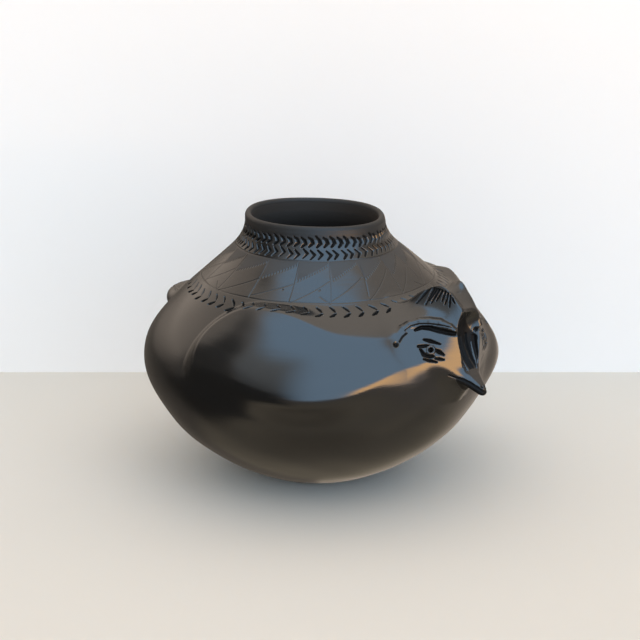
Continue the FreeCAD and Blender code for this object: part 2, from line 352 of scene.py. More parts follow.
# the left wing is flatter under its crest than the right one
_flat = soft_table([-50, -32, -24, -19, -13, -8, 0, 6, 10, 15, 20, 24, 28, 32, 40, 60],
                   [0.9, 0.85, 0.72, 0.52, 0.26, 0.15, 0.09, 0.17, 0.26, 0.46, 0.74, 0.98,
                    1.12, 1.12, 1.05, 1.0], 0.3)


def flank(u, a, b):
    """0 at u = 0 to 1 at u = 1: a straight slope with eased ends."""
    m = 1 / (1 - a / 2 - b / 2)
    u = np.clip(u, 0, 1)
    return np.where(u < a, m * u * u / (2 * a),
                    np.where(u < 1 - b, m * (u - a / 2), 1 - m * (1 - u) ** 2 / (2 * b)))


def relief(theta, s, dip=True):
    """Height of a wing over the wall; under the wall outside its foot."""
    t = np.abs(theta)
    left = rise((theta - 24.0) / 14.0)
    top, w = _top(t) - 4.5 * left, _wtop(t)
    dy = top - s
    dx = (98.5 - t) * 1.95
    rc = 46.0
    edge = rc - np.hypot(np.clip(rc - dx, 0, None), np.clip(rc - dy, 0, None))
    t1 = edge / w
    lo, hi = _lo(t) - 22.0 * rise((theta - 16.0) / 10.0) * rise((60.0 - theta) / 20.0), _hi(t)
    t2 = (s - lo) / (hi - lo)
    h = _high(t) * rise(t1) * flank(t2, _ease_in(t), _ease_out(t))
    h = h * (1 - left * (1 - _flat(s)))
    h = h * (1 - 0.36 * rise((theta - 59.0) / 9.0) * rise((s - 22.0) / 6.0))
    if dip:
        h = h - 26.0 * np.clip(t1, -0.31, 0) ** 2 - 26.0 * np.clip(t2, -0.31, 0) ** 2
    return h


# ============================================================ mesh factories
def add_object(name, v, quads, tris, normals, attrs):
    me = bpy.data.meshes.new(name)
    me.vertices.add(len(v))
    me.vertices.foreach_set("co", (v * 0.001).astype(np.float32).ravel())
    q = np.asarray(quads, np.int32).reshape(-1, 4)
    t = np.asarray(tris, np.int32).reshape(-1, 3)
    loops = np.concatenate([q.ravel(), t.ravel()])
    me.loops.add(len(loops))
    me.loops.foreach_set("vertex_index", loops)
    starts = np.concatenate([np.arange(len(q)) * 4, len(q) * 4 + np.arange(len(t)) * 3])
    me.polygons.add(len(starts))
    me.polygons.foreach_set("loop_start", starts.astype(np.int32))
    me.polygons.foreach_set("use_smooth", np.ones(len(starts), bool))
    me.update(calc_edges=True)
    # the cut mask, which paints shade into grooves, picks the less glossy clay where it is strong
    dark = np.asarray(attrs["cut"], float)
    at = np.concatenate([dark[q].mean(1), dark[t].mean(1)])
    me.polygons.foreach_set("material_index", (at > 0.42).astype(np.int32))
    for key, val in attrs.items():
        a = me.attributes.new(key, "FLOAT", "POINT")
        a.data.foreach_set("value", np.asarray(val, np.float32))
    if normals is not None:
        me.normals_split_custom_set_from_vertices(normals.tolist())
    o = bpy.data.objects.new(name, me)
    bpy.context.scene.collection.objects.link(o)
    return o


def unit(n):
    return n / np.maximum(np.linalg.norm(n, axis=-1, keepdims=True), 1e-12)


def grid_normals(P, wrap):
    """Outward normals of a (rows, columns, 3) grid, rows going up."""
    if wrap:
        du = np.roll(P, -1, 1) - np.roll(P, 1, 1)
    else:
        du = np.gradient(P, axis=1)
    dv = np.gradient(P, axis=0)
    return unit(np.cross(du, dv))


def ring(name, z0, z1, cols, rows, inner_rows=6, lip=False):
    """One closed clay ring. rows: profile distances of the outer skin."""
    th = np.arange(cols) * 360.0 / cols - 180.0
    e = 0.15
    if lip:
        rows = np.asarray(rows)
    ext = np.concatenate([[rows[0] - e], rows, [rows[-1] + e]])
    ext = np.clip(ext, TS[0], TS[-1])
    TH, SS = np.meshgrid(th, ext)
    d, matte, cut = decoration(TH, SS)
    P = on_wall(TH, SS, d)
    # normals from differences with the true row spacing
    du = np.roll(P, -1, 1) - np.roll(P, 1, 1)
    dv = np.empty_like(P)
    h1 = np.maximum(np.diff(ext), 1e-6)
    a, b = h1[:-1, None, None], h1[1:, None, None]
    dv[1:-1] = ((P[1:-1] - P[:-2]) / a * b + (P[2:] - P[1:-1]) / b * a) / (a + b)
    if lip:
        dv[-2] = P[-2] - P[-3]
    N = unit(np.cross(du[1:-1], dv[1:-1]))
    P, matte, cut = P[1:-1], matte[1:-1], cut[1:-1]
    satin = np.zeros(P.shape[:2])
    inside = np.zeros(P.shape[:2])
    parts_P, parts_N = [P], [N]
    parts_m, parts_c, parts_s, parts_i = [matte], [cut], [satin], [inside]

    def revolve(r, z, nr, nz, sat, ins):
        r, z, nr, nz = (np.asarray(x, float)[:, None] for x in (r, z, nr, nz))
        t = np.radians(th)[None, :]
        p = lean(np.stack([r * np.sin(t), -r * np.cos(t), z + 0 * t], -1))
        n = unit(np.stack([nr * np.sin(t), -nr * np.cos(t), nz + 0 * t], -1))
        parts_P.append(p)
        parts_N.append(n)
        zz = np.zeros(p.shape[:2])
        parts_m.append(zz)
        parts_c.append(zz)
        parts_s.append(zz + sat)
        parts_i.append(zz + ins)

    s0, s1 = rows[0], rows[-1]
    if lip:
        ri, ro = 45.8, 50.4 + 0.2
        mid, hw = (ri + ro) / 2, (ro - ri) / 2
        zc = 187.4
        a = np.linspace(0.0, math.pi, 22)[1:-1]
        wob = 0.0
        revolve(mid + hw * np.cos(a), zc + (RIM_Z - zc) * np.sin(a),
                np.cos(a) * (RIM_Z - zc), np.sin(a) * hw, 1.0,
                0.0)
        parts_s[0] = parts_s[0] + 1.0
        parts_i[-1] = parts_i[-1] + rise((a - 2.2) / 0.8)[:, None]
        zb = float(np.interp(s0, TS, TZ) - np.interp(s0, TS, NZ) * WALL)
        rb = float(r_at(s0) - np.interp(s0, TS, NR) * WALL)
        iz = np.linspace(187.4, zb, 7)
        ir = np.interp(iz, [zb, 187.4], [rb, ri])
        revolve(ir, iz, -np.ones(7), np.zeros(7), 0.6, 1.0)
    else:
        si = np.linspace(s1, s0, inner_rows)
        wall = WALL + 1.2 * rise((40 - np.interp(si, TS, TZ)) / 40)
        r = np.interp(si, TS, TR) - np.interp(si, TS, NR) * wall
        z = np.interp(si, TS, TZ) - np.interp(si, TS, NZ) * wall
        if z0 < 1:
            keep = z > 5.6
            r, z, si = r[keep], z[keep], si[keep]
            r = np.concatenate([r, [min(r[-1] - 1, 44.0), 30.0, 12.0]])
            z = np.concatenate([z, [5.6, 5.6, 5.6]])
            nr = np.concatenate([-np.interp(si, TS, NR), [-0.1, 0, 0]])
            nz = np.concatenate([-np.interp(si, TS, NZ), [1, 1, 1]])
        else:
            nr, nz = -np.interp(si, TS, NR), -np.interp(si, TS, NZ)
        revolve(r, z, nr, nz, 0.6, 1.0)
    if z0 < 1:
        # flat foot: back under from the outer edge
        P = np.concatenate(parts_P)
        t = np.radians(th)
        foot = [np.stack([r * np.sin(t), -r * np.cos(t), 0 * t], -1)[None] for r in (12.0, 30.0, 37.2)]
        P = np.concatenate([np.concatenate(foot), P])
        down = np.zeros((3, cols, 3))
        down[..., 2] = -1
        N = np.concatenate([down, np.concatenate(parts_N)])
        z3 = np.zeros((3, cols))
        M = np.concatenate([z3] + parts_m)
        C = np.concatenate([z3] + parts_c)
        Sa = np.concatenate([z3 + 0.8] + parts_s)
        I = np.concatenate([z3] + parts_i)
    else:
        P, N = np.concatenate(parts_P), np.concatenate(parts_N)
        M, C, Sa, I = (np.concatenate(x) for x in (parts_m, parts_c, parts_s, parts_i))
    n = P.shape[0]
    ids = np.arange(n * cols).reshape(n, cols)
    nxt = np.roll(ids, -1, 1)
    if z0 < 1:
        q = np.stack([ids[:-1], nxt[:-1], nxt[1:], ids[1:]], -1).reshape(-1, 4)
        verts = np.concatenate([P.reshape(-1, 3), [[0, 0, 0], [0, 0, 5.6]]])
        nor = np.concatenate([N.reshape(-1, 3), [[0, 0, -1], [0, 0, 1]]])
        c0, c1 = n * cols, n * cols + 1
        t0 = np.stack([np.full(cols, c0), nxt[0], ids[0]], -1)
        t1 = np.stack([np.full(cols, c1), ids[-1], nxt[-1]], -1)
        tris = np.concatenate([t0, t1])
        ext2 = lambda x, a, b: np.concatenate([x.ravel(), [a, b]])
        at = {"matte": ext2(M, 0, 0), "cut": ext2(C, 0, 0), "satin": ext2(Sa, 0.8, 0.6), "inside": ext2(I, 0, 1)}
        return add_object(name, verts, q, tris, nor, at)
    up = np.roll(ids, -1, 0)
    upn = np.roll(nxt, -1, 0)
    q = np.stack([ids, nxt, upn, up], -1).reshape(-1, 4)
    at = {"matte": M.ravel(), "cut": C.ravel(), "satin": Sa.ravel(), "inside": I.ravel()}
    return add_object(name, P.reshape(-1, 3), q, [], N.reshape(-1, 3), at)


def shell_from_patch(name, v, n, quads, attrs, thick):
    """Closes an open patch with an inner skin and a rim."""
    used = np.unique(quads)
    back = np.full(len(v), -1)
    back[used] = np.arange(len(used))
    q = back[quads]
    v, n = v[used], n[used]
    attrs = {k: a[used] for k, a in attrs.items()}
    e = np.concatenate([q[:, [0, 1]], q[:, [1, 2]], q[:, [2, 3]], q[:, [3, 0]]])
    key = np.sort(e, 1)
    _, inv, cnt = np.unique(key, axis=0, return_inverse=True, return_counts=True)
    border = e[cnt[inv.ravel()] == 1]
    m = len(v)
    inner = v - n * thick
    allv = np.concatenate([v, inner])
    alln = np.concatenate([n, -n])
    rim = np.stack([border[:, 1], border[:, 0], border[:, 0] + m, border[:, 1] + m], -1)
    allq = np.concatenate([q, q[:, ::-1] + m, rim])
    at = {k: np.concatenate([a, a]) for k, a in attrs.items()}
    return add_object(name, allv, allq, [], alln, at)


def pad(name, side, t0, t1, rows, step):
    """A wing: a closed pad over the wall whose edges sink under the skin."""
    cols = int(abs(t1 - t0) * 1.95 / step)
    th = np.linspace(t0, t1, cols)
    TH, SS = np.meshgrid(th, rows)
    d, matte, cut = decoration(TH * side, SS)
    H = relief(TH * side, SS)
    d = d + H
    P = on_wall(TH * side, SS, d)
    # ear hole, which lies where wing and head run together, painted dark inside as shade through the cut mask
    a, f, zh = unroll(P[..., 0], P[..., 1], P[..., 2])
    px, py = elevation(*roll(-np.abs(a), f, zh))
    hole = rise((2.5 - np.hypot(px - EAR_AT[0], py - EAR_AT[1]) * 0.72) / 0.9) * (f > 90)
    d = d - 2.0 * hole
    cut = np.maximum(cut, hole)
    P = on_wall(TH * side, SS, d)
    du = np.gradient(P, axis=1)
    dv = np.gradient(P, np.asarray(rows, float), axis=0)
    N = unit(np.cross(du, dv)) * side
    low = on_wall(TH * side, SS, np.minimum(d, 0) - 1.2)
    ids = np.arange(len(rows) * cols).reshape(len(rows), cols)
    q = np.stack([ids[:-1, :-1], ids[:-1, 1:], ids[1:, 1:], ids[1:, :-1]], -1).reshape(-1, 4)
    if side < 0:
        q = q[:, ::-1]
    v, n = P.reshape(-1, 3), N.reshape(-1, 3)
    m = len(v)
    e = np.concatenate([q[:, [0, 1]], q[:, [1, 2]], q[:, [2, 3]], q[:, [3, 0]]])
    key = np.sort(e, 1)
    _, inv, cnt = np.unique(key, axis=0, return_inverse=True, return_counts=True)
    border = e[cnt[inv.ravel()] == 1]
    rim = np.stack([border[:, 1], border[:, 0], border[:, 0] + m, border[:, 1] + m], -1)
    allq = np.concatenate([q, q[:, ::-1] + m, rim])
    allv = np.concatenate([v, low.reshape(-1, 3)])
    alln = np.concatenate([n, -n])
    z = np.zeros(m)
    at = {"matte": np.concatenate([matte.ravel(), z]), "cut": np.concatenate([cut.ravel(), z]),
          "satin": np.zeros(2 * m), "inside": np.zeros(2 * m)}
    return add_object(name, allv, allq, [], alln, at)


def nets(F, lo, h):
    """Surface nets: vertices and quads of the zero level of a 3-D field."""
    inside = F < 0
    c = np.zeros([n - 1 for n in F.shape], np.int8)
    sl = [slice(0, -1), slice(1, None)]
    for i in (0, 1):
        for j in (0, 1):
            for k in (0, 1):
                c += inside[sl[i], sl[j], sl[k]]
    cell = (c > 0) & (c < 8)
    idx = np.full(c.shape, -1, np.int64)
    idx[cell] = np.arange(cell.sum())
    where = np.argwhere(cell)
    acc = np.zeros((len(where), 3))
    cnt = np.zeros(len(where))
    corners = [(i, j, k) for i in (0, 1) for j in (0, 1) for k in (0, 1)]
    for a in corners:
        for ax in range(3):
            if a[ax]:
                continue
            b = list(a)
            b[ax] = 1
            fa = F[where[:, 0] + a[0], where[:, 1] + a[1], where[:, 2] + a[2]]
            fb = F[where[:, 0] + b[0], where[:, 1] + b[1], where[:, 2] + b[2]]
            x = (fa < 0) != (fb < 0)
            t = np.where(x, fa / np.where(x, fa - fb, 1), 0)
            p = np.array(a, float)[None] + t[:, None] * (np.array(b) - np.array(a))[None]
            acc += np.where(x[:, None], p, 0)
            cnt += x
    v = (where + acc / cnt[:, None]) * h + np.asarray(lo, float)
    quads = []
    for ax in range(3):
        s0 = [slice(None)] * 3
        s1 = [slice(None)] * 3
        s0[ax], s1[ax] = slice(0, -1), slice(1, None)
        A, B = inside[tuple(s0)], inside[tuple(s1)]
        o1, o2 = [i for i in range(3) if i != ax]
        pts = np.argwhere(A != B)
        ok = ((pts[:, o1] > 0) & (pts[:, o2] > 0) & (pts[:, o1] < F.shape[o1] - 1)
              & (pts[:, o2] < F.shape[o2] - 1))
        pts = pts[ok]
        flip = A[tuple(pts.T)]

        def at(d1, d2):
            p = pts.copy()
            p[:, o1] -= d1
            p[:, o2] -= d2
            return idx[tuple(p.T)]
        q = np.stack([at(1, 1), at(0, 1), at(0, 0), at(1, 0)], -1)
        if ax == 1:
            flip = ~flip
        q = np.where(flip[:, None], q, q[:, ::-1])
        quads.append(q)
    quads = np.concatenate(quads)
    return v, quads[(quads >= 0).all(1)]


def wall_distance(x, y, z):
    """(theta, s, distance outside the jar's wall), exact near the wall."""
    rho = np.hypot(x, y)
    th = np.degrees(np.arctan2(x, -y))
    s = np.interp(z, TZ, TS)
    for _ in range(4):
        R, Z = np.interp(s, TS, TR), np.interp(s, TS, TZ)
        nr, nz = np.interp(s, TS, NR), np.interp(s, TS, NZ)
        dr, dz = rho - R, z - Z
        along = -dr * nz + dz * nr
        d = dr * nr + dz * nz
        s = np.clip(s + np.clip(along / np.clip(1 + d * np.interp(s, TS, KAP), 0.5, 2.0), -12, 12),
                    TS[0], TS[-1])
    R, Z = np.interp(s, TS, TR), np.interp(s, TS, TZ)
    nr, nz = np.interp(s, TS, NR), np.interp(s, TS, NZ)
    return th, s, (rho - R) * nr + (z - Z) * nz


# ================================================================= the head
ROLL = math.radians(4.0)
CR, SR = math.cos(ROLL), math.sin(ROLL)


def unroll(x, y, z):
    """Row frame to the head's own (a, f, z)."""
    zz = z - 122.0
    return x * CR - zz * SR, -y, x * SR + zz * CR + 122.0


def roll(a, f, z):
    zz = z - 122.0
    return a * CR + zz * SR, -f, -a * SR + zz * CR + 122.0


_zs = [94, 98, 103.8, 108, 114.4, 120.8, 127, 133.2, 138, 141, 150]
f_ridge = soft_table(_zs, [137.8, 137.5, 136.8, 134.8, 133.1, 132.6, 132.6, 133, 133.6, 134, 134.5], 0.3)
f_mid = soft_table(_zs, [137.7, 136.5, 133.4, 129.0, 126.2, 125.0, 125.2, 126.9, 129.9, 132.2, 134], 0.3)
a_ridge = soft_table(_zs, [7.4, 7.5, 7.7, 8.4, 9.9, 11.6, 12.4, 12.3, 10.5, 9.2, 9], 0.3)
_fs = [80, 88, 93, 100, 105, 110, 115, 118, 122, 126, 130, 134, 140]
z_ear = soft_table(_fs, [138, 139, 142.5, 149.5, 153, 155.7, 157.1, 156.7, 153.6, 149.6, 145.3, 140.6, 134], 0.3)
z_crown = soft_table(_fs, [136, 139, 142.5, 147, 149.4, 150.9, 151.2, 149.6, 147.0, 144.2, 141.8, 139.8, 134], 0.3)
a_ear = soft_table(_fs, [16, 15.5, 14.6, 13.9, 13.2, 12.4, 11.5, 11.1, 10.5, 10, 9.6, 9.2, 9], 0.3)
_as = [-1, 5, 10, 15, 20, 24, 30, 35, 39, 45, 50, 60]
z_low = soft_table(_as, [90, 91, 95, 98.5, 100.9, 102.7, 104.3, 103.9, 102.6, 99, 95, 88], 0.35)
r_edge = soft_table(_as, [137, 136.7, 136, 134, 131.5, 129.5, 127.1, 125.2, 124, 122, 121, 120], 0.35)

# half-width of the head: rows are heights, columns distances forward
_AZ = [90, 101, 111, 123, 133, 141, 147, 152, 156, 160]
_AF = [80, 90, 95, 100, 105, 110, 115, 120, 125, 130, 135, 140]
_AV = [[46, 47, 47, 49, 47.5, 45.8, 41.5, 35.5, 28.5, 20, 10.5, -2],
       [46, 47, 47, 49, 47.5, 45.8, 41.5, 35.5, 28.5, 20, 10.5, -2],
       [46, 48, 48, 49, 48, 45.5, 41.5, 36, 29, 19.5, 9, -3],
       [43, 44, 44, 43.5, 41.8, 38.8, 34.3, 29.3, 23.5, 16.5, 8, -3],
       [33, 33, 33, 32.5, 31, 28.7, 25.5, 22, 18.8, 14.8, 9, 0],
       [21, 20.5, 20, 19.5, 18.5, 17.5, 16, 14.5, 13, 10, 6, 0],
       [17, 16.5, 16, 16, 15.8, 15, 14, 12.8, 11, 8.8, 4.5, -2],
       [15, 14.5, 14, 14, 14, 13.6, 12.8, 11.6, 9.7, 5, -2, -8],
       [13, 13, 12.8, 12.8, 12.6, 12.2, 11.6, 10.6, 7.5, 1.5, -6, -12],
       [12, 12, 11.6, 11.6, 11.4, 11, 10.4, 9.3, 5.5, -2, -10, -16]]


def dense_table(rows, cols, vals, step, blur_r, blur_c):
    """Smooth 2-D table: linear between the numbers, then blurred."""
    rr = np.arange(rows[0] - 12, rows[-1] + 12, step)
    cg = np.arange(cols[0] - 12, cols[-1] + 12, step)
    vals = np.asarray(vals, float)
    # straight continuation past the ends
    t = np.array([np.interp(cg, cols, v) for v in vals])
    past = cg > cols[-1]
    slope = (vals[:, -1] - vals[:, -2]) / (cols[-1] - cols[-2])
    t[:, past] = vals[:, -1:] + slope[:, None] * (cg[past] - cols[-1])[None]
    g = np.array([np.interp(rr, rows, t[:, j]) for j in range(len(cg))]).T

    def blur(a, sig, axis):
        r = int(4 * sig) + 1
        k = np.exp(-0.5 * (np.arange(-r, r + 1) / sig) ** 2)
        k /= k.sum()
        pads = [(0, 0), (0, 0)]
        pads[axis] = (r, r)
        b = np.pad(a, pads, mode="edge")
        return np.apply_along_axis(lambda x: np.convolve(x, k, mode="valid"), axis, b)
    g = blur(blur(g, blur_r / step, 0), blur_c / step, 1)

    def f(r, c):
        i = np.clip((r - rr[0]) / step, 0, len(rr) - 1.001)
        j = np.clip((c - cg[0]) / step, 0, len(cg) - 1.001)
        i0, j0 = i.astype(int), j.astype(int)
        u, v = i - i0, j - j0
        return ((g[i0, j0] * (1 - v) + g[i0, j0 + 1] * v) * (1 - u)
                + (g[i0 + 1, j0] * (1 - v) + g[i0 + 1, j0 + 1] * v) * u)
    return f


half = dense_table(_AZ, _AF, _AV, 0.5, 2.6, 2.2)
BROW = np.array([(40.4, 104.8, 124.4), (36.8, 105.2, 128.2), (32.9, 107.1, 130.5),
                 (28.0, 111.6, 132.4), (23.9, 116.8, 132.9), (20.0, 122.3, 132.6),
                 (16.7, 127.9, 130.4), (15.0, 131.0, 128.6)])
BROW_R = np.array([1.3, 2.2, 2.9, 3.2, 3.2, 3.0, 2.5, 1.6])
EYE = np.array([29.3, 122.9, 115.9])

_bf = [120, 128, 134, 139.5, 144.5, 147.0, 148.6, 149.5, 152]
b_hw = soft_table(_bf, [19, 15, 11, 7.4, 4.7, 3.5, 2.6, 1.2, -2], 0.3)
b_top = soft_table(_bf, [112, 108, 103.5, 98.6, 93.6, 91.2, 89.6, 88.2, 85], 0.3)
b_low = soft_table(_bf, [97, 93.5, 90.5, 87.5, 85.0, 84.0, 84.2, 86.0, 90], 0.3)


def mouth_z(f):
    return 99.5 - (f - 128.0) * 13.3 / 23.0


def beak_field(a, f, z):
    hw = b_hw(f)
    zc, hh = (b_top(f) + b_low(f)) / 2, (b_top(f) - b_low(f)) / 2
    hw, hh = np.maximum(hw, 0.4), np.maximum(hh, 0.4)
    u, v = np.abs(a) / hw, np.abs(z - zc) / hh
    p = 2.5
    rr = (u ** p + v ** p + 1e-9) ** (1 / p)
    d = (rr - 1) * np.minimum(hw, hh)
    return smax(d, f - 149.3, 1.5)


def polyline_distance(a, f, z, pts, rad):
    """Distance to a chain of rounded bars of changing radius."""
    best = np.full(a.shape, 1e3)
    for i in range(len(pts) - 1):
        p, q = pts[i], pts[i + 1]
        d = q - p
        t = np.clip(((a - p[0]) * d[0] + (f - p[1]) * d[1] + (z - p[2]) * d[2]) / (d @ d), 0, 1)
        dist = np.sqrt((a - p[0] - t * d[0]) ** 2 + (f - p[1] - t * d[1]) ** 2
                       + (z - p[2] - t * d[2]) ** 2) - (rad[i] + (rad[i + 1] - rad[i]) * t)
        best = smin(best, dist, 0.6)
    return best


def head_only(a, f, z):
    """Signed distance, roughly, of head and beak without the jar."""
    aa = np.sqrt(a * a + 0.04)
    ar = a_ridge(z)
    far = 0.5 + 0.5 * np.tanh(a / 4.0)
    ar = ar + 1.2 * far
    face = f - (f_mid(z) + (f_ridge(z) + 1.2 * far - f_mid(z)) * np.minimum((aa / ar) ** 3.4, 3.0))
    A = half(z, f)
    Af = (half(z, f + 0.5) - half(z, f - 0.5))
    Az = (half(z + 0.5, f) - half(z - 0.5, f))
    side = (aa - A - 0.9 * far) / np.sqrt(1 + Af ** 2 + Az ** 2)
    ae = a_ear(f)
    drop = 4.0 * rise((a + 2.0) / 9.0) * rise((f - 113.0) / 9.0) * rise((137.0 - f) / 5.0)
    top = (z - (z_crown(f) + (z_ear(f) - drop - z_crown(f)) * np.minimum((aa / ae) ** 2, 3.5))) * 0.72
    rho = np.hypot(a, f)
    low = ((z_low(aa) + 1.3 * (rho - r_edge(aa))) - z) * 0.62
    d = smax(side, face, 2.6)
    d = smax(d, top, 2.0)
    d = smax(d, low, 3.0)
    d = smin(d, beak_field(a, f, z), 3.2)
    m = (aa > 8) & (z > 118) & (z < 138)
    if m.any():
        bar = polyline_distance(aa[m], f[m], z[m], BROW, BROW_R)
        d = d.copy()
        d[m] = smin(d[m], bar, 1.5)
    return d


BLEND = 7.0


def head_field(x, y, z, sink=True):
    a, f, zh = unroll(x, y, z)
    dh = head_only(a, f, zh)
    th, s, dw = wall_distance(x, y, z)
    db = dw - relief(th, s, dip=False)
    gap = (BLEND - np.abs(dh - db)) / BLEND
    h = np.clip(gap, 0, None)
    F = np.minimum(dh, db) - h * h * BLEND * 0.25
    if sink:
        F = F + np.where(dh > db, np.clip(-gap, 0, 1.5), 0) ** 2 * BLEND * 0.6
    return F


def gradient(field, v, e=0.25):
    g = np.empty_like(v)
    for i in range(3):
        o = np.zeros(3)
        o[i] = e
        p, q = v + o, v - o
        g[:, i] = (field(p[:, 0], p[:, 1], p[:, 2]) - field(q[:, 0], q[:, 1], q[:, 2])) / (2 * e)
    return g


# the near side of the head is drawn on a flat elevation (unit 0.72 mm), taken
# square to the direction in which that side is best seen, and mirrored
CAM_AZ, CAM_EL, CAM_D = -50.0, 16.0, 1280.0
_az, _el = math.radians(CAM_AZ), math.radians(CAM_EL)
_c = np.array([math.sin(_az) * math.cos(_el), -math.cos(_az) * math.cos(_el), math.sin(_el)])
_right = np.array([math.cos(_az), math.sin(_az), 0.0])
_up = np.cross(_right, -_c)
_C = np.array([0, 0, 109.5]) + _c * CAM_D


def elevation(x, y, z):
    d = np.stack([x, y, z], -1) - _C
    w = d @ (-_c)
    k = CAM_D / 0.72
    return 317.8 + k * (d @ _right) / w, 320 - k * (d @ _up) / w


def E(x, y):
    return 380 + x / 11.14, 270 + y / 11.14


HEAD_CUTS = []
EAR_AT = E(183, 829)


# dark: how strongly the inside of the line is painted as shade
def cutline(pts, w, depth, dark=0.7):
    n = len(pts) - 1
    for i in range(n):
        wa = w[0] + (w[1] - w[0]) * i / n
        wb = w[0] + (w[1] - w[0]) * (i + 1) / n
        if len(w) == 3:      # thickest in the middle
            f = lambda t: w[0] + (w[1] - w[0]) * t * 2 if t < 0.5 else w[1] + (w[2] - w[1]) * (t - 0.5) * 2
            wa, wb = f(i / n), f((i + 1) / n)
        HEAD_CUTS.append((E(*pts[i]), E(*pts[i + 1]), wa * 1.35, wb * 1.35, depth * 1.6, dark))


# hatching under the edge of the ear
for p, w in (([(556, 196), (480, 285), (412, 368)], (1.9, 0.8)),
             ([(598, 205), (552, 300), (508, 386)], (1.6, 0.7)),
             ([(628, 215), (575, 300), (545, 340)], (1.2, 0.6)),
             ([(655, 222), (612, 300), (573, 366)], (1.6, 0.7)),
             ([(690, 236), (655, 300), (625, 346)], (1.4, 0.6)),
             ([(726, 248), (708, 300), (690, 350)], (1.4, 0.6)),
             ([(758, 262), (748, 320), (722, 385)], (1.3, 0.6)),
             ([(788, 278), (780, 345), (775, 415)], (1.3, 0.6)),
             ([(812, 298), (815, 340), (835, 372)], (1.1, 0.6))):
    cutline(p, w, 0.85, 0.9)
# fold above and below the brow
cutline([(285, 672), (345, 628), (440, 604), (560, 606), (690, 622), (800, 640)], (0.8, 1.4, 0.9), 0.55, 0.5)
cutline([(395, 668), (470, 640), (560, 646), (660, 676), (760, 700), (842, 716)], (1.2, 2.5, 2.1), 1.1, 0.95)
cutline([(300, 702), (250, 750), (222, 800)], (0.9, 1.1), 0.5, 0.6)
# lashes cut round the eye
cutline([(492, 774), (560, 790), (676, 826)], (1.1, 1.9, 0.8), 1.3, 0.9)
cutline([(432, 850), (490, 848), (556, 842)], (1.4, 1.7, 0.9), 1.2, 0.9)
cutline([(452, 880), (492, 940), (560, 968), (600, 962)], (1.1, 2.4, 1.2), 1.4, 0.9)
cutline([(628, 892), (668, 915), (716, 946)], (1.4, 2.1, 0.9), 1.4, 0.9)
cutline([(494, 992), (560, 1010), (636, 1028)], (1.0, 1.6, 0.8), 1.3, 0.9)
cutline([(622, 985), (668, 992), (716, 1000)], (1.0, 1.5, 0.8), 1.2, 0.9)
# ear hole, nostril
cutline([(182, 826), (184, 832)], (2.4, 2.4), 1.3, 1.0)
cutline([(1138, 1300), (1144, 1304)], (1.3, 1.3), 0.9, 1.0)
# edge of the mouth
cutline([(770, 1172), (850, 1200), (930, 1222), (1010, 1262), (1090, 1312), (1165, 1352), (1200, 1352)], (0.7, 1.35, 1.1), 0.9, 0.8)
# grooves that fan out at the root of the beak, in the valley of the face:
# (across, up) on the face itself
FAN = [((0.6, 121.0), (1.3, 102.0), 1.2, 1.2), ((5.8, 122.0), (5.4, 101.0), 1.3, 1.2),
       ((10.4, 121.0), (8.3, 103.5), 1.1, 1.0)]
# lit ridges between those grooves, where the painted shade of the valley is left off
VALLEY_LIT_RIDGES = [((3.4, 118.5), (4.3, 99.0), 0.35, 1.0), ((8.6, 117.0), (6.4, 97.5), 0.35, 0.9)]



